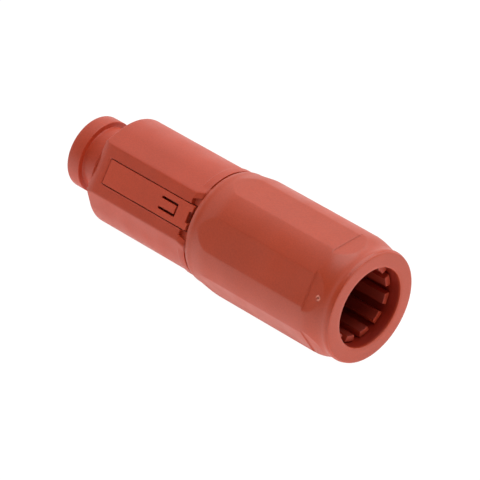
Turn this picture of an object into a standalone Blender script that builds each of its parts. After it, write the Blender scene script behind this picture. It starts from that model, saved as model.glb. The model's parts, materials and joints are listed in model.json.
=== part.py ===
# Coaxial in-line cable connector, single pole, lying on one flat of its gland nut.
# Units are metres, +Z is up and the connector's axis runs along X with the cable mouth at +X.
# Every turned piece is drawn along its own Z axis and laid down by one parent empty.
import math

import bmesh
import bpy
from mathutils import Matrix, Vector


# Clearances between neighbours
FIT = 0.0003
TIP_CLEARANCE = 0.00035

# Cable entry, from the inside out
CABLE_BORE_RADIUS = 0.0086
FINGER_TIP_WALL = 0.00105
FINGER_ROOT_WALL = 0.00195
SLIP_RING_WIDTH = 0.00095
NUT_WALL = 0.00235
FLAT_DEPTH = 0.00058
NUT_FLAT_COUNT = 6
SPIGOT_WALL = 0.00135
SHELL_WALL = 0.00315

# Cable entry, along the axis from the mouth
TIP_RECESS = 0.0032
FINGER_LENGTH = 0.0138
FINGER_COUNT = 12
FINGER_GAP = 0.0020
FINGER_PHASE_DEG = 20.4
CAGE_BASE_LENGTH = 0.0040
SLIP_RING_LENGTH = 0.0010
WASHER_THICKNESS = 0.0010
SEAL_FLANGE_LENGTH = 0.0018
SEAL_BODY_LENGTH = 0.0086
SEAL_GRIP = 0.0007
SPIGOT_LENGTH = 0.0221

# Outside of the gland nut
MOUTH_EDGE_ROUND = 0.0003
LIP_LENGTH = 0.0025
LIP_DROP = 0.00095
LIP_FLARE = 0.0001
FRONT_CONE_LENGTH = 0.0050
FLAT_FRONT_INSET = 0.0065
REAR_CONE_LENGTH = 0.0045
RIM_LENGTH = 0.0025
RIM_DROP = 0.00072
RIM_ROUND = 0.0004
RING_SEAT_WIDTH = 0.0013
RING_SEAT_DEPTH = 0.0018
NUT_RING_WIRE = 0.0010

# Outside of the rear shell
BARREL_LENGTH = 0.0327
SHOULDER_LENGTH = 0.0021
SHOULDER_HEIGHT = 0.00025
BARREL_EDGE = 0.0004
NECK_LENGTH = 0.0080
NECK_WALL = 0.0013
COLLAR_LENGTH = 0.0041
COLLAR_HEIGHT = 0.0014
COLLAR_EDGE = 0.0005
MATING_WALL = 0.0055
MOUTH_CHAMFER = 0.0005

# Flat pad with the lock plate
PAD_ELEVATION_DEG = 32.0
PAD_HALF_WIDTH = 0.0062
PAD_SINK = 0.0005
PAD_REAR_BEVEL_LENGTH = 0.0016
PAD_REAR_BEVEL_DROP = 0.00055
PAD_FRONT_BEVEL_LENGTH = 0.0019
PAD_FRONT_BEVEL_DROP = 0.0007
RELIEF_LENGTH = 0.0021
RELIEF_INNER_HALF = 0.0047
RELIEF_OUTER_HALF = 0.0054
PLATE_WIDTH = 0.0060
PLATE_LENGTH = 0.0278
PLATE_THICKNESS = 0.0008
PLATE_SINK = 0.00005
PLATE_FRONT_GAP = 0.0008
RELEASE_NOTCH_LENGTH = 0.00085
RELEASE_NOTCH_WIDTH = 0.0029
TONGUE_LENGTH = 0.0052
TONGUE_WIDTH = 0.0027
TONGUE_SLOT = 0.00045
TONGUE_INSET = 0.0042
WELL_DEPTH = 0.0009

# Mating side, from the inside out
PIN_RADIUS = 0.0031
BAND_WALL = 0.0003
CONTACT_WALL = 0.0009
MATING_GAP = 0.0012
OUTER_CONTACT_WALL = 0.0005

# Contact and insulators along the axis
OUTER_DISC = 0.0009
FRONT_INSULATOR_LENGTH = 0.0098
NOSE_LENGTH = 0.0075
CONTACT_FLANGE = 0.0014
CONTACT_FLANGE_RADIUS = 0.0068
CONTACT_REACH = 0.0216
CONTACT_BORE_DEPTH = 0.0195
CRIMP_LENGTH = 0.0140
CRIMP_BARE_LENGTH = 0.0033
CRIMP_BORE_RADIUS = 0.0041
CRIMP_WALL = 0.0013
CRIMP_BORE_DEPTH = 0.0125
BAND_LENGTH = 0.0167
BAND_SLOTS = 8
BAND_SLOT_WIDTH = 0.0009
BAND_RING = 0.0018
GUARD_SLEEVE = 0.0020
GUARD_HEAD = 0.0017
GASKET_LENGTH = 0.0010
OUTER_TIP_LENGTH = 0.0159
OUTER_SLOTS = 6
OUTER_SLOT_WIDTH = 0.0008
OUTER_SLOT_LENGTH = 0.0060
TUBE_WALL = 0.0006
RIB_LENGTH = 0.0010
RIB_INSET = 0.0105
BODY_RING_WIRE = 0.0007

# Screen body, its washer, clip and crimp ferrule
WAVE_HEIGHT = 0.0020
WAVE_THICKNESS = 0.0005
WAVE_COUNT = 3
SKIRT_WALL = 0.0007
SKIRT_LENGTH = 0.0105
SCREEN_DISC = 0.0015
TAIL_RADIUS = 0.0062
TAIL_WALL = 0.0007
TAIL_LENGTH = 0.0100
FERRULE_WALL = 0.0007
FERRULE_LENGTH = 0.0080
CLIP_THICKNESS = 0.0011
CLIP_WIDTH = 0.0018
CLIP_GROOVE_DEPTH = 0.0006
CLIP_GAP = 0.0040

# Steps round the turned pieces
OUTER_STEPS = 48
INNER_STEPS = 32
RING_STEPS = 8
CUT_MARGIN = 0.0020

# Radii of the cable side
MOUTH_RADIUS = CABLE_BORE_RADIUS + FINGER_TIP_WALL + TIP_CLEARANCE
FINGER_TIP_RADIUS = CABLE_BORE_RADIUS + FINGER_TIP_WALL
FINGER_ROOT_RADIUS = CABLE_BORE_RADIUS + FINGER_ROOT_WALL
SLIP_INNER_RADIUS = FINGER_ROOT_RADIUS + TIP_CLEARANCE
SLIP_OUTER_RADIUS = SLIP_INNER_RADIUS + SLIP_RING_WIDTH
NUT_BORE_RADIUS = SLIP_OUTER_RADIUS + FIT
NUT_APOTHEM = NUT_BORE_RADIUS + NUT_WALL
NUT_RADIUS = NUT_APOTHEM + FLAT_DEPTH
SPIGOT_RADIUS = NUT_BORE_RADIUS - FIT
SHELL_BORE_RADIUS = SPIGOT_RADIUS - SPIGOT_WALL
BARREL_RADIUS = SHELL_BORE_RADIUS + SHELL_WALL
CAGE_BASE_RADIUS = NUT_BORE_RADIUS - 2 * FIT

# Radii of the mating side
BAND_OUTER_RADIUS = PIN_RADIUS + BAND_WALL
CONTACT_BORE_RADIUS = BAND_OUTER_RADIUS + FIT
CONTACT_RADIUS = CONTACT_BORE_RADIUS + CONTACT_WALL
OUTER_INNER_RADIUS = CONTACT_RADIUS + MATING_GAP
OUTER_RADIUS = OUTER_INNER_RADIUS + OUTER_CONTACT_WALL
NECK_BORE_RADIUS = OUTER_RADIUS + FIT
NECK_RADIUS = NECK_BORE_RADIUS + NECK_WALL
COLLAR_RADIUS = NECK_RADIUS + COLLAR_HEIGHT
CRIMP_RADIUS = CRIMP_BORE_RADIUS + CRIMP_WALL
SKIRT_RADIUS = SHELL_BORE_RADIUS - FIT
TUBE_RADIUS = SKIRT_RADIUS - SKIRT_WALL - FIT
INSULATOR_RADIUS = TUBE_RADIUS - TUBE_WALL - FIT

# Stations, measured from the mouth face towards the mating end
FINGER_ROOT = TIP_RECESS + FINGER_LENGTH
SLIP_FRONT = FINGER_ROOT - FIT - SLIP_RING_LENGTH
NUT_SHOULDER = SLIP_FRONT - FIT
CAGE_END = FINGER_ROOT + CAGE_BASE_LENGTH
WASHER_FRONT = CAGE_END + FIT
SEAL_FRONT = WASHER_FRONT + WASHER_THICKNESS + FIT
SEAL_FLANGE_END = SEAL_FRONT + SEAL_FLANGE_LENGTH
SPIGOT_FRONT = SEAL_FLANGE_END + FIT
BARREL_FRONT = SPIGOT_FRONT + SPIGOT_LENGTH
NUT_END = BARREL_FRONT - FIT
BARREL_END = BARREL_FRONT + BARREL_LENGTH
COLLAR_FRONT = BARREL_END + NECK_LENGTH
SHELL_END = COLLAR_FRONT + COLLAR_LENGTH
STEP_FACE = BARREL_END - MATING_WALL
DISC_FRONT = STEP_FACE - FIT - OUTER_DISC
INSULATOR_END = DISC_FRONT - FIT
FRONT_INSULATOR_FRONT = INSULATOR_END - FRONT_INSULATOR_LENGTH
FLANGE_END = FRONT_INSULATOR_FRONT - FIT
FLANGE_FRONT = FLANGE_END - CONTACT_FLANGE
REAR_INSULATOR_END = FLANGE_FRONT - FIT
REAR_INSULATOR_FRONT = REAR_INSULATOR_END - (CRIMP_LENGTH - CRIMP_BARE_LENGTH)
TUBE_FRONT = REAR_INSULATOR_FRONT - FIT
WAVE_FRONT = TUBE_FRONT - FIT - WAVE_HEIGHT
SCREEN_DISC_END = WAVE_FRONT - FIT
SCREEN_DISC_FRONT = SCREEN_DISC_END - SCREEN_DISC
CLIP_END = SCREEN_DISC_FRONT - FIT
CLIP_FRONT = CLIP_END - CLIP_THICKNESS
TAIL_FRONT = SCREEN_DISC_FRONT - TAIL_LENGTH
CONTACT_TIP = FLANGE_END + CONTACT_REACH
BAND_END = CONTACT_TIP - GUARD_SLEEVE - FIT
AXIS_HEIGHT = NUT_APOTHEM
HALF_LENGTH = SHELL_END / 2

# Pad and plate places
PAD_HEIGHT = BARREL_RADIUS - PAD_SINK
PLATE_TOP = PAD_HEIGHT - PLATE_SINK
PLATE_FLOOR = PLATE_TOP - PLATE_THICKNESS - FIT
PLATE_FRONT = BARREL_FRONT + PLATE_FRONT_GAP
PLATE_END = PLATE_FRONT + PLATE_LENGTH
TONGUE_FRONT = PLATE_FRONT + TONGUE_INSET


def remove_everything():
    for obj in list(bpy.data.objects):
        bpy.data.objects.remove(obj, do_unlink=True)


def new_collection(name):
    collection = bpy.data.collections.new(name)
    bpy.context.scene.collection.children.link(collection)
    return collection


def place(t):
    return HALF_LENGTH - t


def material(name, colour, roughness, metallic=0.0):
    mat = bpy.data.materials.new(name)
    mat.use_nodes = True
    shader = mat.node_tree.nodes["Principled BSDF"]
    shader.inputs["Base Color"].default_value = (*colour, 1.0)
    shader.inputs["Roughness"].default_value = roughness
    shader.inputs["Metallic"].default_value = metallic
    mat.diffuse_color = (*colour, 1.0)
    return mat


def link(obj, collection, axis, mat=None):
    collection.objects.link(obj)
    obj.parent = axis
    if mat is not None:
        obj.data.materials.clear()
        obj.data.materials.append(mat)
    return obj


def evaluated_mesh(obj):
    depsgraph = bpy.context.evaluated_depsgraph_get()
    return bpy.data.meshes.new_from_object(obj.evaluated_get(depsgraph))


def turned_mesh(name, loops, steps):
    # Each loop runs down the outside, towards the mating end, and back up the inside
    mesh = bpy.data.meshes.new(name)
    builder = bmesh.new()
    for loop in loops:
        points = [builder.verts.new((radius, 0.0, place(t))) for t, radius in loop]
        for first, second in zip(points, points[1:] + points[:1]):
            builder.edges.new((first, second))
    builder.to_mesh(mesh)
    builder.free()
    profile = bpy.data.objects.new(name, mesh)
    bpy.context.scene.collection.objects.link(profile)
    screw = profile.modifiers.new("Turn", "SCREW")
    screw.axis = "Z"
    screw.angle = 2 * math.pi
    screw.steps = steps
    screw.render_steps = steps
    screw.use_merge_vertices = True
    screw.merge_threshold = 0.00001
    turned = evaluated_mesh(profile)
    turned.name = name
    bpy.data.objects.remove(profile, do_unlink=True)
    turned.shade_smooth()
    turned.set_sharp_from_angle(angle=math.radians(30))
    return turned


def tube(t0, t1, inner, outer):
    return [(t0, outer), (t1, outer), (t1, inner), (t0, inner)]


def wire_ring(t, radius, wire):
    turns = [2 * math.pi * k / RING_STEPS for k in range(RING_STEPS)]
    return [(t - wire / 2 * math.cos(a), radius + wire / 2 * math.sin(a)) for a in turns]


def outline_mesh(name, points, depth):
    # A flat outline in local X and Y, made solid from z = 0 to z = depth
    curve = bpy.data.curves.new(name, "CURVE")
    curve.dimensions = "2D"
    curve.fill_mode = "BOTH"
    curve.extrude = depth / 2
    spline = curve.splines.new("POLY")
    spline.points.add(len(points) - 1)
    for point, (x, y) in zip(spline.points, points):
        point.co = (x, y, 0.0, 1.0)
    spline.use_cyclic_u = True
    flat = bpy.data.objects.new(name, curve)
    bpy.context.scene.collection.objects.link(flat)
    mesh = evaluated_mesh(flat)
    bpy.data.objects.remove(flat, do_unlink=True)
    bpy.data.curves.remove(curve)
    builder = bmesh.new()
    builder.from_mesh(mesh)
    bmesh.ops.remove_doubles(builder, verts=builder.verts, dist=0.000001)
    bmesh.ops.translate(builder, verts=builder.verts, vec=(0.0, 0.0, depth / 2))
    bmesh.ops.recalc_face_normals(builder, faces=builder.faces)
    builder.to_mesh(mesh)
    builder.free()
    return mesh


def box_mesh(name, low, high):
    mesh = bpy.data.meshes.new(name)
    builder = bmesh.new()
    middle = (Vector(low) + Vector(high)) / 2
    size = Vector(high) - Vector(low)
    matrix = Matrix.Translation(middle) @ Matrix.Diagonal((*size, 1.0))
    bmesh.ops.create_cube(builder, size=1.0, matrix=matrix)
    builder.to_mesh(mesh)
    builder.free()
    return mesh


def joined(name, pieces):
    # Pieces are (mesh, matrix) pairs that stay clear of each other
    mesh = bpy.data.meshes.new(name)
    builder = bmesh.new()
    for piece, matrix in pieces:
        part = piece.copy()
        part.transform(matrix)
        builder.from_mesh(part)
        bpy.data.meshes.remove(part)
    builder.to_mesh(mesh)
    builder.free()
    return mesh


def around(name, mesh, count, phase):
    angles = [phase + 2 * math.pi * k / count for k in range(count)]
    return joined(name, [(mesh, Matrix.Rotation(a, 4, "Z")) for a in angles])


def cutter(name, mesh, collection, axis):
    obj = bpy.data.objects.new(name, mesh)
    link(obj, collection, axis)
    obj.hide_render = True
    obj.display_type = "WIRE"
    return obj


def boolean(obj, other, operation):
    modifier = obj.modifiers.new(other.name, "BOOLEAN")
    modifier.operation = operation
    modifier.object = other
    modifier.solver = "EXACT"
    return modifier


def part_object(name, mesh, collection, axis, mat):
    obj = bpy.data.objects.new(name, mesh)
    return link(obj, collection, axis, mat)


def direction_angle(elevation_deg):
    # Angle about the local axis of the direction that rises by this elevation on the -Y side
    return math.radians(270.0 - elevation_deg)


def pad_matrix():
    # Outlines drawn as (station, across) stand up along the pad's normal
    turn = Matrix.Rotation(direction_angle(PAD_ELEVATION_DEG), 4, "Z")
    stand = Matrix(((0, 0, 1, 0), (0, 1, 0, 0), (-1, 0, 0, HALF_LENGTH), (0, 0, 0, 1)))
    return turn @ stand


def on_pad(name, points, bottom, top):
    mesh = outline_mesh(name, points, top - bottom)
    mesh.transform(Matrix.Translation((0.0, 0.0, bottom)))
    mesh.transform(pad_matrix())
    return mesh


def rectangle(t0, t1, half_width):
    return [(t0, -half_width), (t1, -half_width), (t1, half_width), (t0, half_width)]


def nut_profile():
    cone_front = NUT_END - RIM_LENGTH - REAR_CONE_LENGTH
    lip_radius = NUT_RADIUS - LIP_DROP + LIP_FLARE
    rim_radius = NUT_RADIUS - RIM_DROP
    seat_front = NUT_END - RING_SEAT_DEPTH
    seat_radius = NUT_BORE_RADIUS + RING_SEAT_WIDTH
    outside = [
        (0.0, lip_radius - MOUTH_EDGE_ROUND),
        (MOUTH_EDGE_ROUND * 0.3, lip_radius - MOUTH_EDGE_ROUND * 0.3),
        (MOUTH_EDGE_ROUND, lip_radius),
        (LIP_LENGTH, lip_radius - LIP_FLARE),
        (LIP_LENGTH + FRONT_CONE_LENGTH, NUT_RADIUS),
        (cone_front, NUT_RADIUS),
        (cone_front + REAR_CONE_LENGTH, rim_radius),
        (NUT_END - RIM_ROUND, rim_radius),
        (NUT_END - RIM_ROUND * 0.3, rim_radius - RIM_ROUND * 0.3),
        (NUT_END, rim_radius - RIM_ROUND),
    ]
    inside = [
        (NUT_END, seat_radius),
        (seat_front, seat_radius),
        (seat_front, NUT_BORE_RADIUS),
        (NUT_SHOULDER, NUT_BORE_RADIUS),
        (NUT_SHOULDER, SLIP_INNER_RADIUS),
        (TIP_RECESS, MOUTH_RADIUS),
        (MOUTH_EDGE_ROUND, MOUTH_RADIUS),
        (0.0, MOUTH_RADIUS + MOUTH_EDGE_ROUND),
    ]
    return outside + inside


def flat_cutter_mesh():
    # One wedge, drawn as (height, station): flat along the nut, sloping in under the front cone
    lip_radius = NUT_RADIUS - LIP_DROP
    high = NUT_RADIUS + CUT_MARGIN
    half_width = (NUT_RADIUS ** 2 - NUT_APOTHEM ** 2) ** 0.5 * 1.2
    outline = [
        (NUT_APOTHEM, place(NUT_END - RIM_LENGTH)),
        (NUT_APOTHEM, place(FLAT_FRONT_INSET)),
        (lip_radius, place(LIP_LENGTH)),
        (high, place(LIP_LENGTH)),
        (high, place(NUT_END - RIM_LENGTH)),
    ]
    wedge = outline_mesh("nut_flat", outline, 2 * half_width)
    stand = Matrix(((1, 0, 0, 0), (0, 0, -1, half_width), (0, 1, 0, 0), (0, 0, 0, 1)))
    wedge.transform(stand)
    return wedge


def build_gland_nut(parts, cutters, axis, mat):
    mesh = turned_mesh("gland_nut", [nut_profile()], OUTER_STEPS)
    nut = part_object("gland_nut", mesh, parts, axis, mat)
    wedges = around("nut_flats", flat_cutter_mesh(), NUT_FLAT_COUNT, direction_angle(-90.0))
    boolean(nut, cutter("cut_nut_flats", wedges, cutters, axis), "DIFFERENCE")


def shell_profile():
    shoulder_end = BARREL_FRONT + SHOULDER_LENGTH
    groove_front = CLIP_FRONT - FIT
    groove_end = CLIP_END + FIT
    groove_radius = SHELL_BORE_RADIUS + CLIP_GROOVE_DEPTH
    outside = [
        (SPIGOT_FRONT, SPIGOT_RADIUS - BARREL_EDGE),
        (SPIGOT_FRONT + BARREL_EDGE, SPIGOT_RADIUS),
        (BARREL_FRONT, SPIGOT_RADIUS),
        (BARREL_FRONT, BARREL_RADIUS + SHOULDER_HEIGHT),
        (shoulder_end, BARREL_RADIUS + SHOULDER_HEIGHT),
        (shoulder_end + SHOULDER_HEIGHT, BARREL_RADIUS),
        (BARREL_END - BARREL_EDGE, BARREL_RADIUS),
        (BARREL_END, BARREL_RADIUS - BARREL_EDGE),
        (BARREL_END, NECK_RADIUS),
        (COLLAR_FRONT, NECK_RADIUS),
        (COLLAR_FRONT, COLLAR_RADIUS),
        (SHELL_END - COLLAR_EDGE, COLLAR_RADIUS),
        (SHELL_END - COLLAR_EDGE * 0.3, COLLAR_RADIUS - COLLAR_EDGE * 0.3),
        (SHELL_END, COLLAR_RADIUS - COLLAR_EDGE),
    ]
    inside = [
        (SHELL_END, NECK_BORE_RADIUS + MOUTH_CHAMFER),
        (SHELL_END - MOUTH_CHAMFER, NECK_BORE_RADIUS),
        (STEP_FACE, NECK_BORE_RADIUS),
        (STEP_FACE, SHELL_BORE_RADIUS),
        (groove_end, SHELL_BORE_RADIUS),
        (groove_end, groove_radius),
        (groove_front, groove_radius),
        (groove_front, SHELL_BORE_RADIUS),
        (SPIGOT_FRONT, SHELL_BORE_RADIUS),
    ]
    return outside + inside


def pad_section():
    # Section across the pad as (height, across): flat top, sides tangent to the barrel
    corner_angle = math.atan2(PAD_HALF_WIDTH, PAD_HEIGHT)
    corner_radius = math.hypot(PAD_HALF_WIDTH, PAD_HEIGHT)
    tangent_angle = corner_angle + math.acos(min(1.0, BARREL_RADIUS / corner_radius))
    inner_radius = BARREL_RADIUS - SHELL_WALL / 2
    near = BARREL_RADIUS * 0.999
    inner_angles = [tangent_angle * k / 4 for k in range(4, -5, -1)]
    section = [(PAD_HEIGHT, -PAD_HALF_WIDTH), (PAD_HEIGHT, PAD_HALF_WIDTH)]
    section.append((near * math.cos(tangent_angle), near * math.sin(tangent_angle)))
    section += [(inner_radius * math.cos(a), inner_radius * math.sin(a)) for a in inner_angles]
    section.append((near * math.cos(tangent_angle), -near * math.sin(tangent_angle)))
    return section


def pad_block_mesh():
    block = outline_mesh("pad_block", pad_section(), BARREL_LENGTH - 2 * BARREL_EDGE)
    turn = Matrix.Rotation(direction_angle(PAD_ELEVATION_DEG), 4, "Z")
    block.transform(turn @ Matrix.Translation((0.0, 0.0, place(BARREL_END - BARREL_EDGE))))
    return block


def pad_bevel_mesh(name, start, end, drop):
    # Slopes the pad's top down from the start station to the end station and on past it
    beyond = end + math.copysign(CUT_MARGIN, end - start)
    low = PAD_HEIGHT - drop * (beyond - start) / (end - start)
    high = PAD_HEIGHT + CUT_MARGIN
    half_width = PAD_HALF_WIDTH + 2 * drop
    outline = [
        (PAD_HEIGHT, place(start)),
        (low, place(beyond)),
        (high, place(beyond)),
        (high, place(start)),
    ]
    wedge = outline_mesh(name, outline, 2 * half_width)
    stand = Matrix(((1, 0, 0, 0), (0, 0, -1, half_width), (0, 1, 0, 0), (0, 0, 0, 1)))
    turn = Matrix.Rotation(direction_angle(PAD_ELEVATION_DEG), 4, "Z")
    wedge.transform(turn @ stand)
    return wedge


def build_rear_shell(parts, cutters, axis, mat):
    mesh = turned_mesh("rear_shell", [shell_profile()], OUTER_STEPS)
    shell = part_object("rear_shell", mesh, parts, axis, mat)
    boolean(shell, cutter("add_pad", pad_block_mesh(), cutters, axis), "UNION")
    sky = PAD_HEIGHT + CUT_MARGIN
    face_end = BARREL_END + CUT_MARGIN
    relief_front = BARREL_FRONT - CUT_MARGIN / 2
    relief_end = BARREL_FRONT + RELIEF_LENGTH
    pocket_half = PLATE_WIDTH / 2 + FIT
    relief = [
        (relief_end, -RELIEF_INNER_HALF),
        (relief_end, RELIEF_INNER_HALF),
        (BARREL_FRONT, RELIEF_OUTER_HALF),
        (relief_front, RELIEF_OUTER_HALF),
        (relief_front, -RELIEF_OUTER_HALF),
        (BARREL_FRONT, -RELIEF_OUTER_HALF),
    ]
    face = rectangle(relief_front, face_end, PAD_HALF_WIDTH)
    pocket = rectangle(relief_front, PLATE_END + FIT, pocket_half)
    well_front = TONGUE_FRONT - TONGUE_SLOT
    well_floor = PLATE_FLOOR - WELL_DEPTH
    well = rectangle(well_front, TONGUE_FRONT + TONGUE_LENGTH, TONGUE_WIDTH / 2 + TONGUE_SLOT)
    notch_end = PLATE_FRONT + RELEASE_NOTCH_LENGTH
    notch = rectangle(PLATE_FRONT, notch_end, RELEASE_NOTCH_WIDTH / 2)
    rear_start = BARREL_END - PAD_REAR_BEVEL_LENGTH
    front_start = BARREL_FRONT + PAD_FRONT_BEVEL_LENGTH
    rear_bevel = pad_bevel_mesh("rear_bevel", rear_start, BARREL_END, PAD_REAR_BEVEL_DROP)
    front_bevel = pad_bevel_mesh("front_bevel", front_start, BARREL_FRONT, PAD_FRONT_BEVEL_DROP)
    cuts = [
        ("cut_pad_face", on_pad("pad_face", face, PAD_HEIGHT, sky)),
        ("cut_rear_bevel", rear_bevel),
        ("cut_front_bevel", front_bevel),
        ("cut_relief", on_pad("relief", relief, PLATE_FLOOR + FIT, sky)),
        ("cut_pocket", on_pad("pocket", pocket, PLATE_FLOOR, sky)),
        ("cut_well", on_pad("well", well, well_floor, sky)),
        ("cut_notch_well", on_pad("notch_well", notch, well_floor, sky)),
    ]
    for name, cut_mesh in cuts:
        boolean(shell, cutter(name, cut_mesh, cutters, axis), "DIFFERENCE")


def build_lock_plate(parts, cutters, axis, mat):
    outline = rectangle(PLATE_FRONT, PLATE_END, PLATE_WIDTH / 2)
    mesh = on_pad("lock_plate", outline, PLATE_TOP - PLATE_THICKNESS, PLATE_TOP)
    plate = part_object("lock_plate", mesh, parts, axis, mat)
    inner = TONGUE_WIDTH / 2 - TONGUE_SLOT / 2
    outer = TONGUE_WIDTH / 2 + TONGUE_SLOT / 2
    closed = TONGUE_FRONT - TONGUE_SLOT / 2
    slot = [
        (TONGUE_FRONT + TONGUE_LENGTH, -outer),
        (closed, -outer),
        (closed, outer),
        (TONGUE_FRONT + TONGUE_LENGTH, outer),
        (TONGUE_FRONT + TONGUE_LENGTH, inner),
        (closed + TONGUE_SLOT, inner),
        (closed + TONGUE_SLOT, -inner),
        (TONGUE_FRONT + TONGUE_LENGTH, -inner),
    ]
    low = PLATE_FLOOR - FIT
    high = PLATE_TOP + CUT_MARGIN
    slot_mesh = on_pad("tongue_slot", slot, low, high)
    boolean(plate, cutter("cut_tongue_slot", slot_mesh, cutters, axis), "DIFFERENCE")
    notch_front = PLATE_FRONT - CUT_MARGIN
    notch_end = PLATE_FRONT + RELEASE_NOTCH_LENGTH
    notch = rectangle(notch_front, notch_end, RELEASE_NOTCH_WIDTH / 2)
    notch_mesh = on_pad("release_notch", notch, low, high)
    boolean(plate, cutter("cut_release_notch", notch_mesh, cutters, axis), "DIFFERENCE")


def build_clamp_cage(parts, cutters, axis, mat):
    profile = [
        (TIP_RECESS, FINGER_TIP_RADIUS),
        (FINGER_ROOT, FINGER_ROOT_RADIUS),
        (FINGER_ROOT, CAGE_BASE_RADIUS),
        (CAGE_END, CAGE_BASE_RADIUS),
        (CAGE_END, CABLE_BORE_RADIUS),
        (TIP_RECESS, CABLE_BORE_RADIUS),
    ]
    mesh = turned_mesh("clamp_cage", [profile], OUTER_STEPS)
    cage = part_object("clamp_cage", mesh, parts, axis, mat)
    low = (CABLE_BORE_RADIUS - FINGER_GAP / 2, -FINGER_GAP / 2, place(FINGER_ROOT - FINGER_GAP))
    high = (CAGE_BASE_RADIUS + CUT_MARGIN, FINGER_GAP / 2, place(TIP_RECESS - CUT_MARGIN))
    pitch = 2 * math.pi / FINGER_COUNT
    phase = direction_angle(FINGER_PHASE_DEG) + pitch / 2
    gaps = around("finger_gaps", box_mesh("finger_gap", low, high), FINGER_COUNT, phase)
    boolean(cage, cutter("cut_finger_gaps", gaps, cutters, axis), "DIFFERENCE")


def build_cable_entry(parts, axis, plastic, rubber, steel):
    slip = tube(SLIP_FRONT, SLIP_FRONT + SLIP_RING_LENGTH, SLIP_INNER_RADIUS, SLIP_OUTER_RADIUS)
    part_object("slip_ring", turned_mesh("slip_ring", [slip], INNER_STEPS), parts, axis, plastic)
    washer = tube(WASHER_FRONT, WASHER_FRONT + WASHER_THICKNESS, CABLE_BORE_RADIUS, CAGE_BASE_RADIUS)
    washer_mesh = turned_mesh("pressure_washer", [washer], INNER_STEPS)
    part_object("pressure_washer", washer_mesh, parts, axis, steel)
    seal_bore = CABLE_BORE_RADIUS - SEAL_GRIP
    seal = [
        (SEAL_FRONT, CAGE_BASE_RADIUS),
        (SEAL_FLANGE_END, CAGE_BASE_RADIUS),
        (SEAL_FLANGE_END, SHELL_BORE_RADIUS - FIT),
        (SEAL_FLANGE_END + SEAL_BODY_LENGTH, SHELL_BORE_RADIUS - 2 * FIT),
        (SEAL_FLANGE_END + SEAL_BODY_LENGTH, seal_bore + SEAL_GRIP),
        (SEAL_FLANGE_END + SEAL_BODY_LENGTH * 0.75, seal_bore),
        (SEAL_FLANGE_END, seal_bore),
        (SEAL_FRONT, seal_bore + SEAL_GRIP),
    ]
    part_object("cable_seal", turned_mesh("cable_seal", [seal], INNER_STEPS), parts, axis, rubber)
    ring_radius = NUT_BORE_RADIUS + (RING_SEAT_WIDTH - FIT) / 2
    ring = wire_ring(NUT_END - RING_SEAT_DEPTH / 2 + FIT / 2, ring_radius, NUT_RING_WIRE)
    ring_mesh = turned_mesh("nut_seal_ring", [ring], INNER_STEPS)
    part_object("nut_seal_ring", ring_mesh, parts, axis, rubber)


def build_contact(parts, axis, silver):
    crimp_front = FLANGE_FRONT - CRIMP_LENGTH
    web_end = CONTACT_TIP - CONTACT_BORE_DEPTH
    profile = [
        (crimp_front, CRIMP_RADIUS),
        (FLANGE_FRONT, CRIMP_RADIUS),
        (FLANGE_FRONT, CONTACT_FLANGE_RADIUS),
        (FLANGE_END, CONTACT_FLANGE_RADIUS),
        (FLANGE_END, CONTACT_RADIUS),
        (CONTACT_TIP, CONTACT_RADIUS),
        (CONTACT_TIP, CONTACT_BORE_RADIUS),
        (web_end, CONTACT_BORE_RADIUS),
        (web_end, 0.0),
        (crimp_front + CRIMP_BORE_DEPTH, 0.0),
        (crimp_front + CRIMP_BORE_DEPTH, CRIMP_BORE_RADIUS),
        (crimp_front, CRIMP_BORE_RADIUS),
    ]
    mesh = turned_mesh("contact_socket", [profile], INNER_STEPS)
    part_object("contact_socket", mesh, parts, axis, silver)


def build_contact_band(parts, cutters, axis, copper):
    front = BAND_END - BAND_LENGTH
    band = tube(front, BAND_END, PIN_RADIUS, BAND_OUTER_RADIUS)
    mesh = turned_mesh("contact_band", [band], INNER_STEPS)
    obj = part_object("contact_band", mesh, parts, axis, copper)
    low = (PIN_RADIUS - BAND_WALL, -BAND_SLOT_WIDTH / 2, place(BAND_END - BAND_RING))
    high = (BAND_OUTER_RADIUS + BAND_WALL, BAND_SLOT_WIDTH / 2, place(front + BAND_RING))
    slots = around("band_slots", box_mesh("band_slot", low, high), BAND_SLOTS, 0.0)
    boolean(obj, cutter("cut_band_slots", slots, cutters, axis), "DIFFERENCE")


def build_touch_guard(parts, axis, plastic):
    head_front = CONTACT_TIP + FIT
    profile = [
        (BAND_END + FIT, BAND_OUTER_RADIUS),
        (head_front, BAND_OUTER_RADIUS),
        (head_front, CONTACT_RADIUS),
        (head_front + GUARD_HEAD * 0.6, CONTACT_RADIUS),
        (head_front + GUARD_HEAD, CONTACT_RADIUS - GUARD_HEAD * 0.4),
        (head_front + GUARD_HEAD, PIN_RADIUS + FIT),
        (head_front + GUARD_HEAD - FIT, PIN_RADIUS),
        (BAND_END + FIT, PIN_RADIUS),
    ]
    mesh = turned_mesh("touch_guard", [profile], INNER_STEPS)
    part_object("touch_guard", mesh, parts, axis, plastic)


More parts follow.
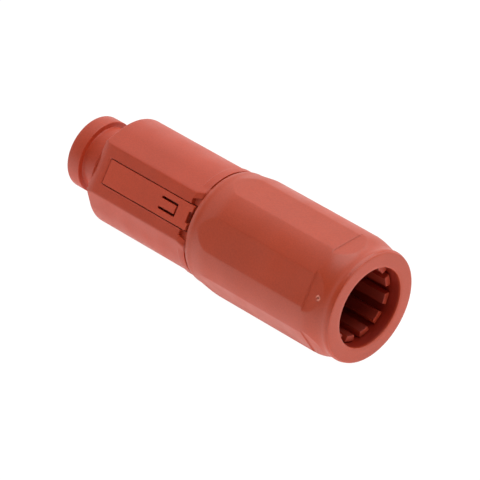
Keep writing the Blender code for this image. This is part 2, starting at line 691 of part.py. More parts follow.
def build_insulators(parts, axis, plastic, rubber):
    crimp_bore = CRIMP_RADIUS + FIT
    rear = tube(REAR_INSULATOR_FRONT, REAR_INSULATOR_END, crimp_bore, INSULATOR_RADIUS)
    rear_mesh = turned_mesh("rear_insulator", [rear], INNER_STEPS)
    part_object("rear_insulator", rear_mesh, parts, axis, plastic)
    nose_end = INSULATOR_END + NOSE_LENGTH
    nose_radius = OUTER_INNER_RADIUS - FIT
    bore = CONTACT_RADIUS + FIT
    front = [
        (FRONT_INSULATOR_FRONT, INSULATOR_RADIUS),
        (INSULATOR_END, INSULATOR_RADIUS),
        (INSULATOR_END, nose_radius),
        (nose_end, nose_radius),
        (nose_end, bore),
        (FRONT_INSULATOR_FRONT, bore),
    ]
    front_mesh = turned_mesh("front_insulator", [front], INNER_STEPS)
    part_object("front_insulator", front_mesh, parts, axis, plastic)
    gasket = tube(nose_end + FIT, nose_end + FIT + GASKET_LENGTH, bore, nose_radius)
    gasket_mesh = turned_mesh("interface_gasket", [gasket], INNER_STEPS)
    part_object("interface_gasket", gasket_mesh, parts, axis, rubber)


def build_outer_contact(parts, cutters, axis, nickel, rubber):
    disc_end = STEP_FACE - FIT
    tip_end = disc_end + OUTER_TIP_LENGTH
    rib_front = DISC_FRONT - RIB_INSET - RIB_LENGTH
    rib_end = rib_front + RIB_LENGTH
    tube_inner = TUBE_RADIUS - TUBE_WALL
    profile = [
        (TUBE_FRONT, TUBE_RADIUS),
        (rib_front, TUBE_RADIUS),
        (rib_front, SHELL_BORE_RADIUS - FIT),
        (rib_end, SHELL_BORE_RADIUS - FIT),
        (rib_end, TUBE_RADIUS),
        (disc_end, TUBE_RADIUS),
        (disc_end, OUTER_RADIUS),
        (tip_end, OUTER_RADIUS),
        (tip_end, OUTER_INNER_RADIUS),
        (DISC_FRONT, OUTER_INNER_RADIUS),
        (DISC_FRONT, tube_inner),
        (TUBE_FRONT, tube_inner),
    ]
    mesh = turned_mesh("outer_contact", [profile], INNER_STEPS)
    obj = part_object("outer_contact", mesh, parts, axis, nickel)
    half = OUTER_SLOT_WIDTH / 2
    low = (OUTER_INNER_RADIUS - MATING_GAP / 2, -half, place(tip_end + CUT_MARGIN))
    high = (OUTER_RADIUS + MATING_GAP / 2, half, place(tip_end - OUTER_SLOT_LENGTH))
    slots = around("outer_slots", box_mesh("outer_slot", low, high), OUTER_SLOTS, 0.0)
    boolean(obj, cutter("cut_outer_slots", slots, cutters, axis), "DIFFERENCE")
    skirt_end = SCREEN_DISC_END + SKIRT_LENGTH
    ring_radius = (TUBE_RADIUS + SHELL_BORE_RADIUS) / 2
    ring = wire_ring((skirt_end + rib_front) / 2, ring_radius, BODY_RING_WIRE)
    ring_mesh = turned_mesh("body_seal_ring", [ring], INNER_STEPS)
    part_object("body_seal_ring", ring_mesh, parts, axis, rubber)


def build_screen_body(parts, axis, nickel, copper):
    skirt_end = SCREEN_DISC_END + SKIRT_LENGTH
    tail_outer = TAIL_RADIUS + TAIL_WALL
    profile = [
        (TAIL_FRONT, tail_outer),
        (SCREEN_DISC_FRONT, tail_outer),
        (SCREEN_DISC_FRONT, SKIRT_RADIUS),
        (skirt_end, SKIRT_RADIUS),
        (skirt_end, SKIRT_RADIUS - SKIRT_WALL),
        (SCREEN_DISC_END, SKIRT_RADIUS - SKIRT_WALL),
        (SCREEN_DISC_END, TAIL_RADIUS),
        (TAIL_FRONT, TAIL_RADIUS),
    ]
    mesh = turned_mesh("screen_body", [profile], INNER_STEPS)
    part_object("screen_body", mesh, parts, axis, nickel)
    ferrule_inner = tail_outer + FIT
    ferrule_end = SCREEN_DISC_FRONT - 2 * FIT
    ferrule = tube(ferrule_end - FERRULE_LENGTH, ferrule_end, ferrule_inner, ferrule_inner + FERRULE_WALL)
    ferrule_mesh = turned_mesh("crimp_ferrule", [ferrule], INNER_STEPS)
    part_object("crimp_ferrule", ferrule_mesh, parts, axis, copper)


def build_wave_washer(parts, axis, steel):
    inner = CRIMP_RADIUS + 2 * FIT + TAIL_WALL
    outer = TUBE_RADIUS - FIT
    middle = WAVE_FRONT + WAVE_HEIGHT / 2
    flat = tube(middle - WAVE_THICKNESS / 2, middle + WAVE_THICKNESS / 2, inner, outer)
    mesh = turned_mesh("wave_washer", [flat], INNER_STEPS)
    reach = (WAVE_HEIGHT - WAVE_THICKNESS) / 2
    for vertex in mesh.vertices:
        angle = math.atan2(vertex.co.y, vertex.co.x)
        vertex.co.z += reach * math.cos(WAVE_COUNT * angle)
    part_object("wave_washer", mesh, parts, axis, steel)


def build_retaining_clip(parts, cutters, axis, steel):
    outer = SHELL_BORE_RADIUS + CLIP_GROOVE_DEPTH - FIT
    ring = tube(CLIP_FRONT, CLIP_END, outer - CLIP_WIDTH, outer)
    mesh = turned_mesh("retaining_clip", [ring], INNER_STEPS)
    clip = part_object("retaining_clip", mesh, parts, axis, steel)
    low = (0.0, -CLIP_GAP / 2, place(CLIP_END + CUT_MARGIN))
    high = (outer + CUT_MARGIN, CLIP_GAP / 2, place(CLIP_FRONT - CUT_MARGIN))
    gap = box_mesh("clip_gap", low, high)
    boolean(clip, cutter("cut_clip_gap", gap, cutters, axis), "DIFFERENCE")


def build():
    remove_everything()
    parts = new_collection("coaxial_connector")
    cutters = new_collection("cutters")
    axis = bpy.data.objects.new("connector_axis", None)
    parts.objects.link(axis)
    axis.location = (0.0, 0.0, AXIS_HEIGHT)
    axis.rotation_euler = (0.0, math.pi / 2, 0.0)

    shell_red = material("shell_red", (0.44, 0.080, 0.045), 0.48)
    nut_red = material("nut_red", (0.45, 0.082, 0.046), 0.46)
    plate_red = material("plate_red", (0.40, 0.085, 0.050), 0.50)
    cage_red = material("cage_red", (0.42, 0.070, 0.040), 0.52)
    white_plastic = material("white_plastic", (0.72, 0.71, 0.66), 0.45)
    black_plastic = material("black_plastic", (0.03, 0.03, 0.032), 0.40)
    seal_rubber = material("seal_rubber", (0.05, 0.05, 0.055), 0.75)
    ring_rubber = material("ring_rubber", (0.30, 0.05, 0.03), 0.65)
    silver = material("silver_plate", (0.80, 0.79, 0.76), 0.28, 1.0)
    nickel = material("nickel_plate", (0.62, 0.60, 0.56), 0.30, 1.0)
    copper = material("copper_alloy", (0.72, 0.43, 0.25), 0.32, 1.0)
    steel = material("spring_steel", (0.50, 0.50, 0.51), 0.35, 1.0)

    build_gland_nut(parts, cutters, axis, nut_red)
    build_rear_shell(parts, cutters, axis, shell_red)
    build_lock_plate(parts, cutters, axis, plate_red)
    build_clamp_cage(parts, cutters, axis, cage_red)
    build_cable_entry(parts, axis, white_plastic, seal_rubber, steel)
    build_contact(parts, axis, silver)
    build_contact_band(parts, cutters, axis, copper)
    build_touch_guard(parts, axis, black_plastic)
    build_insulators(parts, axis, black_plastic, ring_rubber)
    build_outer_contact(parts, cutters, axis, nickel, ring_rubber)
    build_screen_body(parts, axis, nickel, copper)
    build_wave_washer(parts, axis, steel)
    build_retaining_clip(parts, cutters, axis, steel)


build()
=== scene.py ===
import json
import math

import bmesh
import bpy
from mathutils import Matrix, Quaternion, Vector


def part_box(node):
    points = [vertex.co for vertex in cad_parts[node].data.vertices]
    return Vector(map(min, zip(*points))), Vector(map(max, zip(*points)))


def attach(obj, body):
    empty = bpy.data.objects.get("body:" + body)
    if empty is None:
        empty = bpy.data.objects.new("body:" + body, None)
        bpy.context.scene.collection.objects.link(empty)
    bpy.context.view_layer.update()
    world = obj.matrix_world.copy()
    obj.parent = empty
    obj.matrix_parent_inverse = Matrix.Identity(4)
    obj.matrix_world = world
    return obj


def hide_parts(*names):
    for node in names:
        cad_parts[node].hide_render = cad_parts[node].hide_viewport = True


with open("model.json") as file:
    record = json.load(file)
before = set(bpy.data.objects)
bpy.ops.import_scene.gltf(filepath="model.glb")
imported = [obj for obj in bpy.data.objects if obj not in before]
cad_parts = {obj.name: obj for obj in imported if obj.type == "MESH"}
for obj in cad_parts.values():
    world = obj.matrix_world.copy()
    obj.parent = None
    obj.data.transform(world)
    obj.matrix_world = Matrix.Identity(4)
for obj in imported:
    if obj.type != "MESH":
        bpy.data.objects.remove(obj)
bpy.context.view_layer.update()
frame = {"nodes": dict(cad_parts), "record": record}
nodes = frame["nodes"]

axisHeight = 0.0145  # the connector's axis, above the floor
mouthX = 0.0458  # the mouth face; stations are measured from here towards the mating end
flatTurn = math.radians(60)  # from one flat of the nut to the next
weld = 0.000002  # points closer than this are one
spinWeld = 0.000003
straight = math.radians(0.5)  # a smaller bend in a profile is no corner
cornerMiss = 0.06  # mm, between a listed corner of a profile and the real one
onAxis = 0.0002  # points nearer to the axis than this are on it
aligned = 0.98  # cosine, for an edge that stands along a direction
cutterSegments = 4  # in a rounded corner of a cutter
noiseSpan = (0.3, 0.7)  # where most of a noise texture's values lie
bodyOf = {node: name for name, group in frame["record"]["behaviour"]["bodies"].items() for node in group}
slotOf = {part["node"]: part["material_slot"] for part in frame["record"]["subparts"]}
print("frame loaded,", len(nodes), "nodes")


def makeActive(obj):
    bpy.ops.object.select_all(action="DESELECT")
    bpy.context.view_layer.objects.active = obj
    obj.select_set(True)


def openMesh(obj):
    makeActive(obj)
    bpy.ops.object.mode_set(mode="EDIT")


def closeMesh():
    bpy.ops.object.mode_set(mode="OBJECT")


def faceOutwards():
    bpy.ops.mesh.select_all(action="SELECT")
    bpy.ops.mesh.normals_make_consistent(inside=False)


def station(co):
    return mouthX - co.x


def reach(co):  # distance from the connector's axis
    return math.hypot(co.y, co.z - axisHeight)


def turnOf(co):  # angle about the axis, from +Y towards +Z
    return math.atan2(co.z - axisHeight, co.y)


def placeRound(point, newReach, turn):
    point.co.y = newReach * math.cos(turn)
    point.co.z = axisHeight + newReach * math.sin(turn)


def within(value, band):
    return band[0] < value < band[1]


def pickParts(obj, kind, rule):
    bpy.ops.mesh.select_mode(type=kind)
    bpy.ops.mesh.select_all(action="DESELECT")
    mesh = bmesh.from_edit_mesh(obj.data)
    picked = [part for part in (mesh.edges if kind == "EDGE" else mesh.verts) if rule(part)]
    for part in picked:
        part.select_set(True)
    mesh.select_flush_mode()
    bmesh.update_edit_mesh(obj.data)
    return len(picked)


def pickEdges(obj, rule):
    return pickParts(obj, "EDGE", lambda edge: rule(edge.verts[0].co, edge.verts[1].co))


def pickPoints(obj, rule):
    return pickParts(obj, "VERT", lambda point: rule(point.co))


def cutSection(node, name, angle=0.0):
    # One half of the CAD node's section, as a wire on its own
    piece = bpy.data.objects.new(name, nodes[node].data.copy())
    piece.data.name = name
    piece.data.materials.clear()
    bpy.context.scene.collection.objects.link(piece)
    centre = Vector((0, 0, axisHeight))
    side = Vector((0, math.cos(angle), math.sin(angle)))
    upright = Vector((0, -math.sin(angle), math.cos(angle)))
    openMesh(piece)
    bpy.ops.mesh.select_all(action="SELECT")
    bpy.ops.mesh.remove_doubles(threshold=weld)
    bpy.ops.mesh.bisect(plane_co=centre, plane_no=side, clear_inner=True, clear_outer=True, threshold=weld)
    if pickPoints(piece, lambda co: (co - centre).dot(upright) < -weld / 2):
        bpy.ops.mesh.delete(type="VERT")
    bpy.ops.mesh.select_all(action="SELECT")
    bpy.ops.mesh.dissolve_limited(angle_limit=straight)
    closeMesh()
    return piece


def roundCorners(piece, radius, segments=3, spot=None):
    # spot is (station, reach, distance), or None for every corner off the axis
    def wanted(co):
        if spot is None:
            return reach(co) >= onAxis
        return math.hypot(station(co) - spot[0], reach(co) - spot[1]) < spot[2]
    openMesh(piece)
    if pickPoints(piece, wanted):
        bpy.ops.mesh.bevel(offset=radius, segments=segments, affect="VERTICES", clamp_overlap=True)
    closeMesh()


def splitRuns(piece, longest, rule=None):
    openMesh(piece)
    for halving in range(12):  # each halves every run that is still too long
        if not pickEdges(piece, lambda a, b: (a - b).length > longest and (rule is None or rule(a, b))):
            break
        bpy.ops.mesh.subdivide(number_cuts=1)
    closeMesh()


def addRow(piece, t):
    # A new ring of points at this station
    openMesh(piece)
    bpy.ops.mesh.select_all(action="SELECT")
    bpy.ops.mesh.bisect(plane_co=(mouthX - t, 0, 0), plane_no=(1, 0, 0), threshold=weld)
    closeMesh()


def missOf(co, corner):
    # How far this point is from a (station, reach) corner in millimetres
    return math.hypot(station(co) * 1000 - corner[0], reach(co) * 1000 - corner[1])


def addPoints(piece, first, second, count):
    # Splits the profile's edge between two corners
    def between(a, b):
        return any(missOf(a, one) < cornerMiss and missOf(b, other) < cornerMiss
                   for one, other in ((first, second), (second, first)))
    openMesh(piece)
    if pickEdges(piece, between) != 1:
        print("no single edge between", first, second, "on", piece.name)
    bpy.ops.mesh.subdivide(number_cuts=count)
    closeMesh()


def movePoints(piece, moves):
    found = []
    for old, new in moves.items():
        point = min(piece.data.vertices, key=lambda one: missOf(one.co, old))
        if missOf(point.co, old) > cornerMiss:
            print("no point at", old, "on", piece.name)
        found.append((point, new))
    for point, (newT, newR) in found:
        factor = newR / 1000 / reach(point.co)
        point.co = (mouthX - newT / 1000, point.co.y * factor, axisHeight + (point.co.z - axisHeight) * factor)


def reshapeProfile(piece, corners, runs):
    # corners gives each corner's new place, runs the places of new points between two old corners
    moves = dict(corners)
    for (first, second), places in runs.items():
        addPoints(piece, first, second, len(places))
        for number, place in enumerate(places, 1):
            share = number / (len(places) + 1)
            moves[tuple(a + (b - a) * share for a, b in zip(first, second))] = place
    movePoints(piece, moves)


def spinRound(piece, steps):
    openMesh(piece)
    bpy.ops.mesh.select_all(action="SELECT")
    bpy.ops.mesh.spin(steps=steps, angle=2 * math.pi, center=(0, 0, axisHeight), axis=(1, 0, 0))
    bpy.ops.mesh.select_all(action="SELECT")
    bpy.ops.mesh.remove_doubles(threshold=spinWeld)
    faceOutwards()
    closeMesh()


def applyBoolean(piece, tool, operation="DIFFERENCE"):
    makeActive(piece)
    cut = piece.modifiers.new("cut", "BOOLEAN")
    cut.operation = operation
    cut.solver = "EXACT"
    cut.object = tool
    bpy.ops.object.modifier_apply(modifier="cut")
    bpy.data.objects.remove(tool, do_unlink=True)


def bevelEdges(piece, width, segments, angle):
    makeActive(piece)
    edge = piece.modifiers.new("edge", "BEVEL")
    edge.width = width
    edge.segments = segments
    edge.limit_method = "ANGLE"
    edge.angle_limit = math.radians(angle)
    edge.use_clamp_overlap = True
    bpy.ops.object.modifier_apply(modifier="edge")


def newBlock():
    bpy.ops.mesh.primitive_cube_add(size=1)
    return bpy.context.object


def joinBlocks(blocks):
    makeActive(blocks[0])
    if len(blocks) > 1:
        for block in blocks:
            block.select_set(True)
        bpy.ops.object.join()
    return blocks[0]


def finishPiece(piece, node, finish, smooth=30):
    makeActive(piece)
    bpy.ops.object.shade_smooth_by_angle(angle=math.radians(smooth))
    if not piece.data.polygons:
        print("nothing left of", piece.name)
    piece.data.materials.clear()
    piece.data.materials.append(finish)
    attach(piece, bodyOf[node])
    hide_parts(node)


def softMin(a, b, width):
    return (a + b) / 2 - math.sqrt(((a - b) / 2) ** 2 + width * width)


def gatherTurn(turn, ridge, outer, power):
    # Moves a turn between 0 and outer so that the columns of points crowd at the ridge
    share = turn / outer
    if share < 0.5:
        return ridge * (1 - (1 - share * 2) ** power)
    return ridge + (outer - ridge) * (share * 2 - 1) ** power


def newFinish(name, roughness, metallic=0.0):
    finish = bpy.data.materials.new(name)
    finish.use_nodes = True
    shader = finish.node_tree.nodes["Principled BSDF"]
    shader.inputs["Roughness"].default_value = roughness
    shader.inputs["Metallic"].default_value = metallic
    place = finish.node_tree.nodes.new("ShaderNodeTexCoord")
    return finish, shader, place.outputs["Object"]


def feedSocket(owner, socket, value):
    # value is another node's output, a number or a colour; owner is a material or the world
    if isinstance(value, (int, float)):
        socket.default_value = value
    elif isinstance(value, tuple):
        socket.default_value = (*value, 1.0)
    else:
        owner.node_tree.links.new(value, socket)


def addMapping(owner, place, key, value):
    mapping = owner.node_tree.nodes.new("ShaderNodeMapping")
    mapping.inputs[key].default_value = value
    owner.node_tree.links.new(place, mapping.inputs["Vector"])
    return mapping.outputs["Vector"]


def addNoise(owner, place, scale, detail, stretch=None):
    if stretch:
        place = addMapping(owner, place, "Scale", stretch)
    noise = owner.node_tree.nodes.new("ShaderNodeTexNoise")
    noise.inputs["Scale"].default_value = scale
    noise.inputs["Detail"].default_value = detail
    owner.node_tree.links.new(place, noise.inputs["Vector"])
    return noise.outputs["Fac"]


def addRange(owner, value, low, high, toLow=0.0, toHigh=1.0, kind="LINEAR"):
    span = owner.node_tree.nodes.new("ShaderNodeMapRange")
    span.interpolation_type = kind
    for key, number in zip(("From Min", "From Max", "To Min", "To Max"), (low, high, toLow, toHigh)):
        span.inputs[key].default_value = number
    owner.node_tree.links.new(value, span.inputs["Value"])
    return span.outputs["Result"]


def addMath(owner, operation, first, second):
    node = owner.node_tree.nodes.new("ShaderNodeMath")
    node.operation = operation
    feedSocket(owner, node.inputs[0], first)
    feedSocket(owner, node.inputs[1], second)
    return node.outputs[0]


def addVectorMath(owner, operation, value, other=None):
    node = owner.node_tree.nodes.new("ShaderNodeVectorMath")
    node.operation = operation
    owner.node_tree.links.new(value, node.inputs[0])
    if other:
        node.inputs[1].default_value = other
    return node.outputs["Vector" if operation == "MULTIPLY" else "Value"]


def splitAxes(owner, value):
    split = owner.node_tree.nodes.new("ShaderNodeSeparateXYZ")
    owner.node_tree.links.new(value, split.inputs["Vector"])
    return split.outputs


def addMix(finish, factor, first, second, blend="MIX"):
    mix = finish.node_tree.nodes.new("ShaderNodeMix")
    mix.data_type = "RGBA"
    mix.blend_type = blend
    for number, value in ((0, factor), (6, first), (7, second)):  # the factor and the two colours
        feedSocket(finish, mix.inputs[number], value)
    return mix.outputs[2]


def addBump(finish, shader, height, strength, distance):
    links = finish.node_tree.links
    bump = finish.node_tree.nodes.new("ShaderNodeBump")
    bump.inputs["Strength"].default_value = strength
    bump.inputs["Distance"].default_value = distance
    links.new(height, bump.inputs["Height"])
    previous = shader.inputs["Normal"].links
    if previous:
        links.new(previous[0].from_socket, bump.inputs["Normal"])
    links.new(bump.outputs["Normal"], shader.inputs["Normal"])


def addSheen(finish, shader, noise, roughness, below, above):
    shine = addRange(finish, noise, *noiseSpan, roughness - below, roughness + above)
    finish.node_tree.links.new(shine, shader.inputs["Roughness"])


def shade(colour, factor, lift=0.0):
    return tuple(min(1.0, c * factor + lift) for c in colour)


def addPaintedBoreShade(finish, place, body, look):
    # Painted shade: the bore is darker and deeper in colour than the outside, below a reach and past a depth from
    # the mouth
    centred = addMapping(finish, place, "Location", (0, 0, -axisHeight))
    across = addVectorMath(finish, "LENGTH", addVectorMath(finish, "MULTIPLY", centred, (0, 1, 1)))
    near = addRange(finish, across, *look["reach"], 1.0, 0.0)
    shallow, deep = look["depth"]
    past = addRange(finish, splitAxes(finish, place)["X"], mouthX - deep, mouthX - shallow, 1.0, 0.0)
    inside = addMix(finish, 1.0, body, look["shade"], "MULTIPLY")
    return addMix(finish, addMath(finish, "MULTIPLY", near, past), body, inside)


def addTorn(finish, place, body, look):
    # Where the sprue broke off, the plastic is whitened in flecks
    lift = math.radians(gateMark["elevation"])
    spot = (gateMark["station"] - mouthX, look["height"] * math.cos(lift),
            -axisHeight - look["height"] * math.sin(lift))
    away = addVectorMath(finish, "LENGTH", addMapping(finish, place, "Location", spot))
    near = addRange(finish, away, *look["reach"], 1.0, 0.0)
    flecks = addRange(finish, addNoise(finish, place, *look["flecks"]), *look["fleckEdge"])
    return addMix(finish, addMath(finish, "MULTIPLY", near, flecks), body, look["colour"])


plasticSurface = {  # each noise is a scale and a detail, and a stretch where it has one
    "mottle": (70, 3), "speck": (2600, 2), "speckEdge": (0.35, 0.65), "speckShade": (0.94, 1.06),
    # the paled convex edges are partly wear and partly painted highlight on the ridges
    "wearAndHighlightPointiness": (0.52, 0.60), "wearAndHighlightShade": (1.5, 0.01),
    "rub": (240, 4, (0.25, 1, 1)), "rubEdge": (0.62, 0.72), "rubShare": 0.12, "rubShade": (1.25, 0.01),
    "gloss": (160, 3), "sheen": (0.06, 0.07),
    "spark": (1900, 3), "grainDepth": 0.00004, "wave": (260, 2), "rippleDepth": 0.00012,
}


def mouldedPlastic(name, look):
    # Spark-eroded grain, slow colour change of the moulding, paler edges that are partly wear and partly painted
    # highlight, and a few rub marks
    finish, shader, place = newFinish(name, look["roughness"])
    colour, surface = look["colour"], plasticSurface
    mottle = addRange(finish, addNoise(finish, place, *surface["mottle"]), *noiseSpan)
    body = addMix(finish, mottle, shade(colour, look["darkest"]), shade(colour, look["palest"]))
    speck = addRange(finish, addNoise(finish, place, *surface["speck"]), *surface["speckEdge"])
    speckDark, speckPale = ((level,) * 3 for level in surface["speckShade"])
    body = addMix(finish, 1.0, body, addMix(finish, speck, speckDark, speckPale), "MULTIPLY")
    pointiness = finish.node_tree.nodes.new("ShaderNodeNewGeometry").outputs["Pointiness"]
    # painted highlight: convex edges paled as if catching the light, together with their wear
    wearAndHighlight = addRange(finish, pointiness, *surface["wearAndHighlightPointiness"], 0.0, look["edgeWearAndHighlight"])
    body = addMix(finish, wearAndHighlight, body, shade(colour, *surface["wearAndHighlightShade"]))
    rub = addRange(finish, addNoise(finish, place, *surface["rub"]), *surface["rubEdge"], 0.0, surface["rubShare"])
    body = addMix(finish, rub, body, shade(colour, *surface["rubShade"]))
    # painted shade in the bore, standing in for the shade that falls inside it
    if "inside" in look:
        body = addPaintedBoreShade(finish, place, body, look["inside"])
    if "torn" in look:
        body = addTorn(finish, place, body, look["torn"])
    finish.node_tree.links.new(body, shader.inputs["Base Color"])
    addSheen(finish, shader, addNoise(finish, place, *surface["gloss"]), look["roughness"], *surface["sheen"])
    addBump(finish, shader, addNoise(finish, place, *surface["spark"]), look["grain"], surface["grainDepth"])
    addBump(finish, shader, addNoise(finish, place, *surface["wave"]), look["ripple"], surface["rippleDepth"])
    return finish


rubberSurface = {
    "bloom": (320, 4), "bloomEdge": (0.35, 0.7), "dark": 0.85, "pale": (1.25, 0.006),
    "gloss": (900, 2), "sheen": (0.08, 0.08), "spark": (1500, 3), "grain": 0.35, "grainDepth": 0.00005,
}


def sealRubber(name, look):
    # Bloom on the skin, and the mould's texture
    finish, shader, place = newFinish(name, look["roughness"])
    colour, surface = look["colour"], rubberSurface
    bloom = addRange(finish, addNoise(finish, place, *surface["bloom"]), *surface["bloomEdge"])
    body = addMix(finish, bloom, shade(colour, surface["dark"]), shade(colour, *surface["pale"]))
    finish.node_tree.links.new(body, shader.inputs["Base Color"])
    addSheen(finish, shader, addNoise(finish, place, *surface["gloss"]), look["roughness"], *surface["sheen"])
    addBump(finish, shader, addNoise(finish, place, *surface["spark"]), surface["grain"], surface["grainDepth"])
    return finish


streakDepth = 0.00002


def streakedMetal(name, look):
    # Fine marks of the lathe or the brush, with a slow tarnish
    finish, shader, place = newFinish(name, look["roughness"], 1.0)
    colour = look["colour"]
    tarnish = addRange(finish, addNoise(finish, place, *look["patches"]), *look["patchEdge"])
    body = addMix(finish, tarnish, colour, tuple(c * t for c, t in zip(colour, look["tarnish"])))
    finish.node_tree.links.new(body, shader.inputs["Base Color"])
    streaks = addNoise(finish, place, *look["streaks"])
    addSheen(finish, shader, streaks, look["roughness"], *look["sheen"])
    addBump(finish, shader, streaks, look["marks"], streakDepth)
    return finish


gateMark = {
    "station": 0.0047, "elevation": 28.0, "radius": 0.00052,
    "rim": 0.32, "rimSunk": 0.00004,  # the rim's thickness and the pit's radii are shares of the radius
    "pitFloor": 0.3, "pitTop": 0.58, "pitDepth": 0.0008, "pitSunk": 0.00012,
    "rimSteps": 32, "tubeSteps": 10, "pitSteps": 24,
}

shellLook = {"colour": (0.452, 0.047, 0.0145), "roughness": 0.46, "darkest": 0.95, "palest": 1.05,
             "edgeWearAndHighlight": 0.35, "grain": 0.12, "ripple": 0.05}
nutLook = {"colour": (0.435, 0.047, 0.0125), "roughness": 0.44, "darkest": 0.95, "palest": 1.05,
           "edgeWearAndHighlight": 0.2, "grain": 0.10, "ripple": 0.05,
           # inside: painted shade on the nut's bore wall, darker and less reflective than the outside
           "inside": {"reach": (0.0103, 0.0108), "depth": (0.0001, 0.0008), "shade": (0.58, 0.28, 0.28)},
           "torn": {"height": 0.01425, "reach": (0.00045, 0.00085), "colour": (0.70, 0.24, 0.16),
                    "flecks": (1300, 2), "fleckEdge": (0.42, 0.56)}}
plateLook = {"colour": (0.50, 0.053, 0.016), "roughness": 0.52, "darkest": 0.94, "palest": 1.05,
             "edgeWearAndHighlight": 0.3, "grain": 0.14, "ripple": 0.06}
cageLook = {"colour": (0.42, 0.040, 0.013), "roughness": 0.50, "darkest": 0.94, "palest": 1.05,
            "edgeWearAndHighlight": 0.2, "grain": 0.12, "ripple": 0.06,
            # inside: painted shade on the fingers' inner grip faces
            "inside": {"reach": (0.00846, 0.00858), "depth": (0.0030, 0.0032), "shade": (0.56, 0.42, 0.42)}}
acetalLook = {"colour": (0.72, 0.71, 0.66), "roughness": 0.42, "darkest": 0.96, "palest": 1.02,
              "edgeWearAndHighlight": 0.2, "grain": 0.06, "ripple": 0.05}
insulatorLook = {"colour": (0.030, 0.030, 0.032), "roughness": 0.38, "darkest": 0.9, "palest": 1.1,
                 "edgeWearAndHighlight": 0.3, "grain": 0.08, "ripple": 0.05}
turnedLook = {"patches": (180, 4), "patchEdge": (0.35, 0.75), "sheen": (0.08, 0.1)}
silverLook = {**turnedLook, "colour": (0.80, 0.79, 0.76), "tarnish": (0.86, 0.83, 0.76),
              "roughness": 0.26, "streaks": (1, 2, (5200, 60, 60)), "marks": 0.12}
nickelLook = {**turnedLook, "colour": (0.62, 0.60, 0.56), "tarnish": (0.88, 0.85, 0.8),
              "roughness": 0.28, "streaks": (1, 2, (4400, 60, 60)), "marks": 0.14}
copperLook = {**turnedLook, "colour": (0.72, 0.43, 0.25), "tarnish": (0.8, 0.72, 0.66),
              "roughness": 0.32, "streaks": (1, 2, (3600, 60, 60)), "marks": 0.14}
springLook = {"colour": (0.50, 0.50, 0.51), "tarnish": (0.82, 0.8, 0.78), "patches": (260, 3),
              "patchEdge": (0.3, 0.75), "sheen": (0.1, 0.1), "roughness": 0.34,
              "streaks": (1, 2, (300, 4200, 4200)), "marks": 0.25}

finishes = {
    "shell_red": mouldedPlastic("shell_plastic", shellLook),
    "nut_red": mouldedPlastic("nut_plastic", nutLook),
    "plate_red": mouldedPlastic("plate_plastic", plateLook),
    "cage_red": mouldedPlastic("cage_plastic", cageLook),
    "white_plastic": mouldedPlastic("natural_acetal", acetalLook),
    "black_plastic": mouldedPlastic("insulator_plastic", insulatorLook),
    "seal_rubber": sealRubber("black_seal_rubber", {"colour": (0.045, 0.045, 0.05), "roughness": 0.72}),
    "ring_rubber": sealRubber("red_ring_rubber", {"colour": (0.30, 0.05, 0.03), "roughness": 0.6}),
    "silver_plate": streakedMetal("silver_plating", silverLook),
    "nickel_plate": streakedMetal("nickel_plating", nickelLook),
    "copper_alloy": streakedMetal("bare_copper_alloy", copperLook),
    "spring_steel": streakedMetal("brushed_spring_steel", springLook),
}
print("finishes made")


threadShape = {
    "start": 0.0262, "end": 0.0450, "rows": 0.00028,  # stations, and the step between two rows of points
    "pitch": 0.0020, "depth": 0.00055, "runOut": 0.0012,
    "slope": 2.2, "crest": 0.1, "fill": 1.35,  # the groove's flanks, the crest's width and the flat bottom
    "nutReach": (0.0121, 0.0122), "spigotReach": (0.0118, 0.0119),
}


def cutThread(piece, band, side):
    # Right-hand grooves in the points of one reach; side is 1 outwards in the nut, -1 inwards on the spigot
    shape = threadShape
    start, end = shape["start"], shape["end"]
    for point in piece.data.vertices:
        t, r = station(point.co), reach(point.co)
        if not (within(r, band) and start < t < end):
            continue
        theta = turnOf(point.co)
        phase = (t / shape["pitch"] + theta / (2 * math.pi) + (0.5 if side > 0 else 0.0)) % 1.0
        groove = min(1.0, max(0.0, shape["slope"] * abs(phase - 0.5) - shape["crest"]) * shape["fill"])
        fade = min(1.0, (t - start) / shape["runOut"], (end - t) / shape["runOut"])
        placeRound(point, r + side * shape["depth"] * groove * fade, theta)


